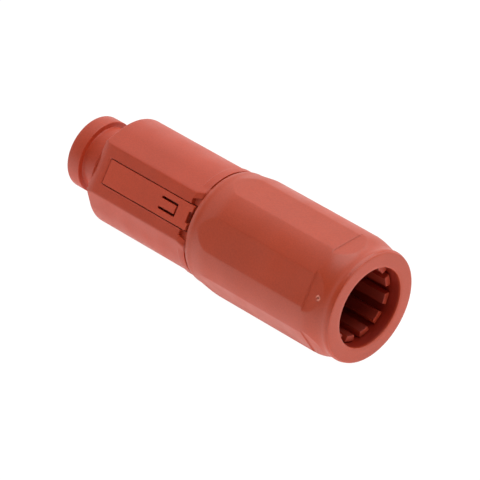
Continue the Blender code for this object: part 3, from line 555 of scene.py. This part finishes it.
nutShape = {
    "steps": 240, "skin": 0.0136,  # the outside lies beyond this reach
    "apothem": 0.0145, "flatRear": 0.0466,
    "flatFront": 0.0078, "stepDepth": 0.00025, "stepLength": 0.00004,  # the flats end here in a small step
    "lipEnd": 0.0025, "lipSlack": 0.0001, "lipApothem": 0.01418, "noFlat": 0.016,
    "turnStart": 0.0009, "turnRun": 0.0012, "gather": 1.6,
    "ridgeLeast": math.radians(4), "ridgeSoftness": 0.00003, "ridgeLift": 0.3,
    "longestRun": 0.0011, "frontRun": 0.0003, "front": (0.003, 0.009), "threadFront": 0.0455,
    "corners": {  # the solid's corners and their places here: station and reach, in millimetres
        (0, 10.3): (0, 10.42), (0, 13.93): (0.03, 13.68), (0.09, 14.14): (0.11, 13.86),
        (0.3, 14.23): (0.26, 13.95), (2.5, 14.13): (2.6, 14.03), (7.5, 15.08): (6.4, 15.08),
        (0.3, 10.0): (0.12, 10.16), (3.2, 10.0): (3.2, 10.25),
        (46.1, 14.36): (45.2, 14.36), (46.38, 14.24): (45.9, 14.12), (46.5, 13.96): (46.5, 13.72),
    },
    "runs": {  # the mouth ring with its groove, the lip bead, the cove behind it and the bore's front
        ((0, 10.3), (0, 13.93)): ((0, 11.2), (0, 12.1), (0, 12.9), (0, 13.50)),
        ((0.3, 14.23), (2.5, 14.13)): ((0.38, 13.88), (0.56, 14.03), (0.88, 14.16), (1.3, 14.18),
                                       (1.75, 14.10), (2.15, 14.02)),
        ((2.5, 14.13), (7.5, 15.08)): ((3.3, 14.10), (4.1, 14.33), (5.2, 14.70)),
        ((0.3, 10.0), (3.2, 10.0)): ((0.5, 10.05),),
    },
    "rounds": (  # radius, segments, and where: station, reach and distance
        (0.0010, 5, (0.0064, 0.01508, 0.0004)),
        (0.0010, 5, (0.0395, 0.01508, 0.0004)),
        (0.0005, 4, (0.0440, 0.01436, 0.0003)),
        (0.0004, 4, (0.0452, 0.01436, 0.0003)),
    ),
}


def nutFlatHeight(t):
    shape = nutShape
    front, lipEnd = shape["flatFront"], shape["lipEnd"]
    if t >= front:
        return shape["apothem"]
    if t < lipEnd - shape["lipSlack"]:
        return shape["noFlat"]
    slope = (shape["apothem"] - shape["stepDepth"] - shape["lipApothem"]) / (front - lipEnd)
    step = shape["stepDepth"] * min(1.0, (front - t) / shape["stepLength"])
    return shape["apothem"] - step - slope * (front - t)


def shapeNutFlats(piece):
    shape, halfTurn = nutShape, flatTurn / 2
    softness = shape["ridgeSoftness"]
    for point in piece.data.vertices:
        t, r = station(point.co), reach(point.co)
        if r < shape["skin"] or t > shape["flatRear"] or t < shape["turnStart"]:
            continue
        theta = turnOf(point.co)
        middle = round((theta - halfTurn) / flatTurn) * flatTurn + halfTurn
        phi = abs(theta - middle)
        height = nutFlatHeight(t)
        ridge = max(shape["ridgeLeast"], math.acos(min(1.0, height / r)))
        gathered = gatherTurn(phi, ridge, halfTurn, shape["gather"])
        blend = min(1.0, (t - shape["turnStart"]) / shape["turnRun"])
        turn = math.copysign(phi + (gathered - phi) * blend, theta - middle)
        pressed = softMin(r + softness * shape["ridgeLift"], height / math.cos(turn), softness)
        placeRound(point, min(pressed, r), middle + turn)


def onNutFront(a, b):
    start, end = nutShape["front"]
    return reach(a) > nutShape["skin"] and start < station(a) < end and station(b) < end


def makeGateMark(piece):
    # The ring and pit that the sprue left near the lip
    mark = gateMark
    lift, radius = math.radians(mark["elevation"]), mark["radius"]
    normal = Vector((0, -math.cos(lift), math.sin(lift)))
    place = Vector((mouthX - mark["station"], 0, axisHeight)) + normal * nutFlatHeight(mark["station"])
    turn = (math.pi / 2 - lift, 0, 0)
    bpy.ops.mesh.primitive_torus_add(
        major_radius=radius, minor_radius=radius * mark["rim"], major_segments=mark["rimSteps"],
        minor_segments=mark["tubeSteps"], location=place - normal * mark["rimSunk"], rotation=turn)
    rim = bpy.context.object
    bpy.ops.object.transform_apply(location=True, rotation=True, scale=True)
    applyBoolean(piece, rim, "UNION")
    bpy.ops.mesh.primitive_cone_add(
        vertices=mark["pitSteps"], radius1=radius * mark["pitFloor"], radius2=radius * mark["pitTop"],
        depth=mark["pitDepth"], location=place - normal * mark["pitSunk"], rotation=turn)
    pit = bpy.context.object
    bpy.ops.object.transform_apply(location=True, rotation=True, scale=True)
    applyBoolean(piece, pit)


nut = cutSection("gland_nut", "nut_moulding", math.pi / 2)
reshapeProfile(nut, nutShape["corners"], nutShape["runs"])
for radius, segments, spot in nutShape["rounds"]:
    roundCorners(nut, radius, segments, spot)
addRow(nut, nutShape["flatFront"])
addRow(nut, nutShape["flatFront"] - nutShape["stepLength"])
splitRuns(nut, nutShape["longestRun"], lambda a, b: min(reach(a), reach(b)) > nutShape["skin"])
splitRuns(nut, nutShape["frontRun"], onNutFront)
splitRuns(nut, threadShape["rows"], lambda a, b: all(
    within(reach(co), threadShape["nutReach"]) and station(co) < nutShape["threadFront"] for co in (a, b)))
spinRound(nut, nutShape["steps"])
cutThread(nut, threadShape["nutReach"], 1)
shapeNutFlats(nut)
makeGateMark(nut)
finishPiece(nut, "gland_nut", finishes["nut_red"])
print("gland nut turned,", len(nut.data.polygons), "faces")


padShape = {
    "elevation": 32.0, "height": 0.01315, "halfWidth": 0.0062,
    "barrel": 0.01365, "skin": 0.0131,  # the barrel's radius, and the reach beyond which points are moved
    "front": 0.0468, "rear": 0.0795,
    "slopes": ((0.0487, 0.0468, 0.0007), (0.0779, 0.0795, 0.00055)),  # from, to and drop at each end
    "gather": 1.5, "gatherTurn": math.radians(60), "ridgeSoftness": 0.00009,
}
padAngle = math.radians(180 - padShape["elevation"])  # the pad's normal, as an angle from +Y
padNormal = Vector((0, math.cos(padAngle), math.sin(padAngle)))
padAcross = Vector((0, math.sin(padAngle), -math.cos(padAngle)))
padSlack = 0.00001  # so that the points on the pad's two ends count as inside


def padPoint(t, across, height):
    return Vector((mouthX - t, 0, axisHeight)) + padAcross * across + padNormal * height


def padHeight(t):
    for start, end, drop in padShape["slopes"]:
        if (t - start) * (end - start) > 0:
            return padShape["height"] - drop * (t - start) / (end - start)
    return padShape["height"]


def shapePad(piece):
    shape = padShape
    barrel, outer = shape["barrel"], shape["gatherTurn"]
    # the pad's sides leave its corners as tangents to the barrel
    cornerReach = math.hypot(shape["halfWidth"], shape["height"])
    tangent = math.atan2(shape["halfWidth"], shape["height"]) + math.acos(barrel / cornerReach)
    for point in piece.data.vertices:
        t, r = station(point.co), reach(point.co)
        if r < shape["skin"] or t < shape["front"] - padSlack or t > shape["rear"] + padSlack:
            continue
        height = padHeight(t)
        ridge = math.atan2((barrel - height * math.cos(tangent)) / math.sin(tangent), height)
        alpha = (turnOf(point.co) - padAngle + math.pi) % (2 * math.pi) - math.pi
        if abs(alpha) < outer:
            alpha = math.copysign(gatherTurn(abs(alpha), ridge, outer, shape["gather"]), alpha)
        wide, newReach = abs(alpha), r
        if wide < tangent:
            edgeDrop = barrel - min(r, barrel)
            side = max(barrel / math.cos(wide - tangent) - edgeDrop, r)
            newReach = softMin(side, height / math.cos(wide), shape["ridgeSoftness"])
        placeRound(point, newReach, padAngle + alpha)


def padBlock(name, front, end, half, floor, top, endHalf=None):
    # A block standing along the pad's normal; endHalf is for an end of another width
    block = newBlock()
    block.name = name
    for point in block.data.vertices:
        t, across = (front, half) if point.co.x > 0 else (end, endHalf or half)
        point.co = padPoint(t, math.copysign(across, point.co.y), top if point.co.z > 0 else floor)
    return block


def roundUprights(block, radius, rule=None):
    # Rounds the block's edges that stand along the pad's normal
    def upright(a, b):
        return abs((a - b).normalized().dot(padNormal)) > aligned and (rule is None or rule(a, b))
    openMesh(block)
    if pickEdges(block, upright):
        bpy.ops.mesh.bevel(offset=radius, segments=cutterSegments, affect="EDGES")
    faceOutwards()
    closeMesh()


def cutAway(piece, block, radius):
    roundUprights(block, radius)
    applyBoolean(piece, block)


shellShape = {
    "steps": 240, "longestRun": 0.0012,
    "rounds": (
        (0.00015, 3, (0.0468, 0.0139, 0.0001)),
        (0.00015, 3, (0.0489, 0.0139, 0.0001)),
        (0.00015, 3, (0.04915, 0.01365, 0.0001)),
        (0.00035, 4, (0.0795, 0.01325, 0.0003)),
        (0.00035, 4, (0.0791, 0.01365, 0.0003)),
        (0.0004, 3, (0.0795, 0.0079, 0.0002)),
        (0.0003, 3, (0.0875, 0.0079, 0.0002)),
        (0.0002, 3, (0.0875, 0.0093, 0.0002)),
        (0.0003, 4, (0.0912, 0.0091, 0.0005)),
    ),
    "cutFront": 0.0455, "cutAbove": 0.002,
    "reliefEnd": 0.0489, "reliefInner": 0.0047, "reliefOuter": 0.0054,
    "reliefFloor": 0.0123, "reliefCorner": 0.00015,
    "hollows": (  # for the plate, its tongue and its release notch
        ("pocket", {"front": 0.0455, "end": 0.0757, "half": 0.00336, "floor": 0.0120}, 0.0004),
        ("well", {"front": 0.0515, "end": 0.0578, "half": 0.0018, "floor": 0.0111}, 0.0003),
        ("notch_well", {"front": 0.0476, "end": 0.04845, "half": 0.00145, "floor": 0.0111}, 0.0002),
    ),
    "hardStation": (0.0466, 0.04895), "hardAcross": (0.0032, 0.0055), "hardHeight": (0.0122, 0.0133),
}


def cutHollows(piece):
    # The relief flares towards the nut; what is left of it beside the plate are two small recesses
    shape = shellShape
    sky = padShape["height"] + shape["cutAbove"]
    flare = (shape["reliefOuter"] - shape["reliefInner"]) / (shape["reliefEnd"] - padShape["front"])
    frontHalf = shape["reliefInner"] + flare * (shape["reliefEnd"] - shape["cutFront"])
    relief = padBlock("relief", shape["cutFront"], shape["reliefEnd"], frontHalf, shape["reliefFloor"], sky,
                      shape["reliefInner"])
    cutAway(piece, relief, shape["reliefCorner"])
    for name, hollow, corner in shape["hollows"]:
        cutAway(piece, padBlock(name, **hollow, top=sky), corner)


def inRelief(co):
    shape, side = shellShape, co - padPoint(0, 0, 0)
    return (within(station(co), shape["hardStation"]) and within(abs(side.dot(padAcross)), shape["hardAcross"])
            and within(side.dot(padNormal), shape["hardHeight"]))


shell = cutSection("rear_shell", "shell_moulding", -math.pi / 2)
for radius, segments, spot in shellShape["rounds"]:
    roundCorners(shell, radius, segments, spot)
splitRuns(shell, threadShape["rows"], lambda a, b: all(
    within(reach(co), threadShape["spigotReach"]) for co in (a, b)))
splitRuns(shell, shellShape["longestRun"], lambda a, b: min(reach(a), reach(b)) > padShape["skin"])
spinRound(shell, shellShape["steps"])
cutThread(shell, threadShape["spigotReach"], -1)
shapePad(shell)
cutHollows(shell)
finishPiece(shell, "rear_shell", finishes["shell_red"])
openMesh(shell)  # the small recesses beside the plate have hard corners
pickEdges(shell, lambda a, b: inRelief(a) and inRelief(b))
bpy.ops.mesh.mark_sharp()
closeMesh()
print("rear shell shaped,", len(shell.data.polygons), "faces")


plateShape = {
    "front": 0.0476, "end": 0.07546, "half": 0.00310, "top": 0.0131, "thickness": 0.0008,
    "corner": 0.0003, "edge": (0.00007, 2, 40), "smooth": 20,  # the edge's width, segments and least angle
    "tongueFront": 0.0523, "tongueEnd": 0.0575, "tongueHalf": 0.00133, "slot": 0.00062, "closingSlot": 0.00055,
    "slotCorner": 0.00028, "coreCorner": 0.0002,
    "notchEnd": 0.04845, "notchHalf": 0.00145, "notchCorner": 0.0002,
    "past": 0.001, "below": 0.0003,  # how far the cutters stand out
}


def makeLockPlate():
    # A plate with a tongue, which is what the ring of the slot leaves, and a notch in its front
    shape = plateShape
    top, past = shape["top"], shape["past"]
    floor = top - shape["thickness"]
    plate = padBlock("lock_plate_moulding", shape["front"], shape["end"], shape["half"], floor, top)
    roundUprights(plate, shape["corner"])
    inner = shape["tongueHalf"] - shape["slot"] / 2
    outer = shape["tongueHalf"] + shape["slot"] / 2
    closed = shape["tongueFront"] - shape["closingSlot"] / 2
    low, high = floor - shape["below"], top + past
    ring = padBlock("tongue_slot", closed, shape["tongueEnd"], outer, low, high)
    roundUprights(ring, shape["slotCorner"])
    core = padBlock("tongue_core", closed + shape["closingSlot"], shape["tongueEnd"] + past, inner,
                    low - past, high + past)
    roundUprights(core, shape["coreCorner"], lambda a, b: station(a) < shape["tongueFront"] + past)
    applyBoolean(ring, core)
    applyBoolean(plate, ring)
    notch = padBlock("release_notch", shape["front"] - 2 * past, shape["notchEnd"], shape["notchHalf"], low, high)
    cutAway(plate, notch, shape["notchCorner"])
    bevelEdges(plate, *shape["edge"])
    return plate


finishPiece(makeLockPlate(), "lock_plate", finishes["plate_red"], plateShape["smooth"])
print("lock plate cut")


cageShape = {
    "fingers": 12, "gap": 0.0020, "phase": 20.4, "columns": 8, "rows": 6,
    "edge": (0.00008, 3, 50), "smooth": 20,
    "tip": 0.0032, "root": 0.0170, "overlap": 0.0012,  # stations, and how far a finger goes into the base
    "bore": 0.00842, "tipReach": 0.00996, "rootReach": 0.01055, "taper": 1.09,
    "leadIn": 0.00005, "leadInShare": 12,  # the bore opens by this over a twelfth of the finger
    "baseEnd": 0.0210, "baseBore": 0.0086, "baseReach": 0.01155, "baseCorner": 0.00025, "baseSteps": 192,
    "washerMiddle": (0.0218, 0.0100),
}


def makeFinger(number):
    # A straight-sided bar bent to the ring: the gap beside it keeps one width
    shape = cageShape
    finger = newBlock()
    openMesh(finger)
    pickEdges(finger, lambda a, b: abs(a.y - b.y) > 0.5)
    bpy.ops.mesh.subdivide(number_cuts=shape["columns"] - 1)
    pickEdges(finger, lambda a, b: abs(a.x - b.x) > 0.5)
    bpy.ops.mesh.subdivide(number_cuts=shape["rows"] - 1)
    closeMesh()
    middle = math.radians(180 - shape["phase"]) + 2 * math.pi * number / shape["fingers"]
    for point in finger.data.vertices:
        along = 0.5 - point.co.x
        t = shape["tip"] + along * (shape["root"] + shape["overlap"] - shape["tip"])
        if point.co.z > 0:
            r = shape["tipReach"] + (shape["rootReach"] - shape["tipReach"]) * min(1.0, along * shape["taper"])
        else:
            r = shape["bore"] + shape["leadIn"] * max(0.0, 1 - along * shape["leadInShare"])
        half = math.pi / shape["fingers"] - math.asin(shape["gap"] / 2 / r)
        turn = middle + point.co.y * 2 * half
        point.co.x = mouthX - t
        placeRound(point, r, turn)
    openMesh(finger)
    faceOutwards()
    closeMesh()
    bevelEdges(finger, *shape["edge"])
    return finger


cage = cutSection("pressure_washer", "clamp_cage_moulding")
washerStation, washerReach = cageShape["washerMiddle"]
for point in cage.data.vertices:  # the washer's ring section, stretched to the cage's base
    point.co.x = mouthX - (cageShape["root"] if station(point.co) < washerStation else cageShape["baseEnd"])
    point.co.z = axisHeight + (cageShape["baseBore"] if reach(point.co) < washerReach else cageShape["baseReach"])
roundCorners(cage, cageShape["baseCorner"])
spinRound(cage, cageShape["baseSteps"])
applyBoolean(cage, joinBlocks([makeFinger(number) for number in range(cageShape["fingers"])]), "UNION")
finishPiece(cage, "clamp_cage", finishes["cage_red"], cageShape["smooth"])
print("clamp cage joined,", len(cage.data.polygons), "faces")


turned = {
    "slip_ring": {"name": "slip_ring_turned", "round": 0.00012, "steps": 144},
    "pressure_washer": {"name": "pressure_washer_blank", "round": 0.00010, "steps": 144},
    "cable_seal": {"name": "cable_seal_moulding", "round": 0.00035, "steps": 144},
    "nut_seal_ring": {"name": "nut_ring_moulding", "round": 0.00018, "steps": 144},
    "body_seal_ring": {"name": "body_ring_moulding", "round": 0.00012, "steps": 144},
    "interface_gasket": {"name": "interface_gasket_ring", "round": 0.00015, "steps": 96},
    "contact_socket": {"name": "contact_turning", "round": 0.00012, "steps": 144},
    "touch_guard": {"name": "touch_guard_moulding", "round": 0.00012, "steps": 128},
    "front_insulator": {"name": "front_insulator_turning", "round": 0.00015, "steps": 128},
    "rear_insulator": {"name": "rear_insulator_turning", "round": 0.00020, "steps": 128},
    "screen_body": {"name": "screen_body_turning", "round": 0.00012, "steps": 144},
    "crimp_ferrule": {"name": "ferrule_tube", "round": 0.00012, "steps": 128},
    "outer_contact": {"name": "outer_contact_turning", "round": 0.00010, "steps": 192, "angle": math.pi / 2},
    "contact_band": {"name": "contact_band_strip", "round": 0.00004, "steps": 160, "angle": math.radians(22.5)},
    "retaining_clip": {"name": "clip_ring", "round": 0.00012, "steps": 144},
}
turnedRun = 0.004

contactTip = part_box("outer_contact")[0].x
bandLow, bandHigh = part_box("contact_band")
clipLow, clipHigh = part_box("retaining_clip")
slots = {  # slots between two reaches and two stations
    "outer_contact": {"count": 6, "width": 0.0008, "inner": 0.0052, "outer": 0.0069, "corner": 0.00035,
                      "front": mouthX - contactTip - 0.0060, "end": mouthX - contactTip + 0.002},
    "contact_band": {"count": 8, "width": 0.0009, "inner": 0.0028, "outer": 0.0037, "corner": 0.0004,
                     "front": mouthX - bandHigh.x + 0.0018, "end": mouthX - bandLow.x - 0.0018},
    "retaining_clip": {"count": 1, "width": 0.0040, "inner": 0.0, "outer": 0.0130, "corner": 0.0,
                       "front": mouthX - clipHigh.x - 0.001, "end": mouthX - clipLow.x + 0.001},
}


def slotBlock(slot, turn):
    # A slot cutter that stands out from the axis at this turn from -Z
    block = newBlock()
    for point in block.data.vertices:
        t = slot["front"] if point.co.x > 0 else slot["end"]
        r = slot["outer"] if point.co.z > 0 else slot["inner"]
        point.co = (mouthX - t, math.copysign(slot["width"] / 2, point.co.y), -r)
    openMesh(block)
    if slot["corner"]:
        pickEdges(block, lambda a, b: abs(a.z - b.z) > weld)
        bpy.ops.mesh.bevel(offset=slot["corner"], segments=cutterSegments, affect="EDGES")
    faceOutwards()
    closeMesh()
    for point in block.data.vertices:
        y, z = point.co.y, point.co.z
        point.co.y = y * math.cos(turn) - z * math.sin(turn)
        point.co.z = axisHeight + y * math.sin(turn) + z * math.cos(turn)
    return block


for node, shape in turned.items():
    piece = cutSection(node, shape["name"], shape.get("angle", 0.0))
    roundCorners(piece, shape["round"])
    splitRuns(piece, turnedRun)
    spinRound(piece, shape["steps"])
    if node in slots:
        count = slots[node]["count"]
        applyBoolean(piece, joinBlocks([slotBlock(slots[node], 2 * math.pi * k / count) for k in range(count)]))
    finishPiece(piece, node, finishes[slotOf[node]])
print("turned pieces made and slotted")

for node, obj in nodes.items():  # what keeps its CAD shape gets its finish
    obj.data.materials.clear()
    obj.data.materials.append(finishes[slotOf[node]])


stageLook = {
    "floorSize": 3.0, "floorColour": 0.85, "floorRoughness": 0.9, "floorGlow": 1.0, "cameraWhite": 0.93,
    "backdropSide": (-0.714, 0.700, 0),  # away from the camera
    "backdropEdge": (-0.15, 0.6), "backdropTop": (0.6, 0.9), "backdropGlow": 1.0, "roomGlow": 0.16,
    "lampEnergy": 2.45, "lampSize": 0.5, "lampPlace": (0.06, 0.14, 0.46), "lampAim": (0, 0, 0.01),
}


def backdropRays(owner):
    # 1 for rays that show the backdrop: seen directly, in gloss or through glass
    path = owner.node_tree.nodes.new("ShaderNodeLightPath").outputs
    seen = addMath(owner, "MAXIMUM", path["Is Camera Ray"], path["Is Glossy Ray"])
    return addMath(owner, "MAXIMUM", seen, path["Is Transmission Ray"])


def layFloor():
    look = stageLook
    bpy.ops.mesh.primitive_plane_add(size=look["floorSize"], location=(0, 0, 0))
    floor = bpy.context.object
    floor.name = "table_top"
    floorPaint = bpy.data.materials.new("white_table")
    floorPaint.use_nodes = True
    tree = floorPaint.node_tree
    paint = tree.nodes["Principled BSDF"]
    paint.inputs["Base Color"].default_value = (look["floorColour"],) * 3 + (1.0,)
    paint.inputs["Roughness"].default_value = look["floorRoughness"]
    paint.inputs["Emission Color"].default_value = (1, 1, 1, 1)
    paint.inputs["Emission Strength"].default_value = look["floorGlow"]
    glow = tree.nodes.new("ShaderNodeEmission")
    blend = tree.nodes.new("ShaderNodeMixShader")
    share = addMath(floorPaint, "MULTIPLY", backdropRays(floorPaint), look["cameraWhite"])
    tree.links.new(share, blend.inputs["Fac"])
    tree.links.new(paint.outputs["BSDF"], blend.inputs[1])
    tree.links.new(glow.outputs["Emission"], blend.inputs[2])
    tree.links.new(blend.outputs["Shader"], tree.nodes["Material Output"].inputs["Surface"])
    floor.data.materials.append(floorPaint)


def lightRoom():
    # A glowing backdrop behind the piece and a dim room; the camera sees white everywhere
    look, world = stageLook, bpy.data.worlds.new("studio")
    scene.world = world
    world.use_nodes = True
    tree = world.node_tree
    background = tree.nodes["Background"]
    background.inputs["Color"].default_value = (1, 1, 1, 1)
    direction = tree.nodes.new("ShaderNodeTexCoord").outputs["Generated"]
    along = addVectorMath(world, "DOT_PRODUCT", direction, look["backdropSide"])
    behind = addRange(world, along, *look["backdropEdge"], 0.0, look["backdropGlow"], "SMOOTHSTEP")
    low = addRange(world, splitAxes(world, direction)["Z"], *look["backdropTop"], 1.0, 0.0, "SMOOTHSTEP")
    room = addMath(world, "ADD", addMath(world, "MULTIPLY", behind, low), look["roomGlow"])
    cameraRay = tree.nodes.new("ShaderNodeLightPath").outputs["Is Camera Ray"]
    seen = addMath(world, "MULTIPLY", addMath(world, "SUBTRACT", 1.0, room), cameraRay)
    tree.links.new(addMath(world, "ADD", room, seen), background.inputs["Strength"])


def hangLamp():
    look = stageLook
    lamp = bpy.data.lights.new("ceiling_softbox", "AREA")
    lamp.energy = look["lampEnergy"]
    lamp.size = look["lampSize"]
    obj = bpy.data.objects.new("ceiling_softbox", lamp)
    scene.collection.objects.link(obj)
    obj.location = look["lampPlace"]
    obj.rotation_euler = (Vector(look["lampAim"]) - obj.location).to_track_quat("-Z", "Y").to_euler()


cameraLook = {"azimuth": 44.70, "elevation": 34.58, "roll": 0.43, "lens": 305.76, "sensor": 36, "nearest": 0.01,
              "distance": 0.92995, "right": -0.02977, "up": 0.01555}


def placeCamera():
    look = cameraLook
    turn, lift = math.radians(look["azimuth"]), math.radians(look["elevation"])
    back = Vector((math.sin(turn) * math.cos(lift), -math.cos(turn) * math.cos(lift), math.sin(lift)))
    right = Quaternion(back, math.radians(look["roll"])) @ Vector((math.cos(turn), math.sin(turn), 0))
    above = back.cross(right)
    camera = bpy.data.objects.new("photo_camera", bpy.data.cameras.new("photo_camera"))
    scene.collection.objects.link(camera)
    camera.data.lens = look["lens"]
    camera.data.sensor_width = look["sensor"]
    camera.data.clip_start = look["nearest"]
    camera.location = (Vector((mouthX, 0, axisHeight)) + back * look["distance"] + right * look["right"]
                       + above * look["up"])
    camera.rotation_euler = Matrix((right, above, back)).transposed().to_euler()
    scene.camera = camera


scene = bpy.context.scene
layFloor()
lightRoom()
hangLamp()
placeCamera()
scene.view_settings.view_transform = "Standard"
print("camera and light set")
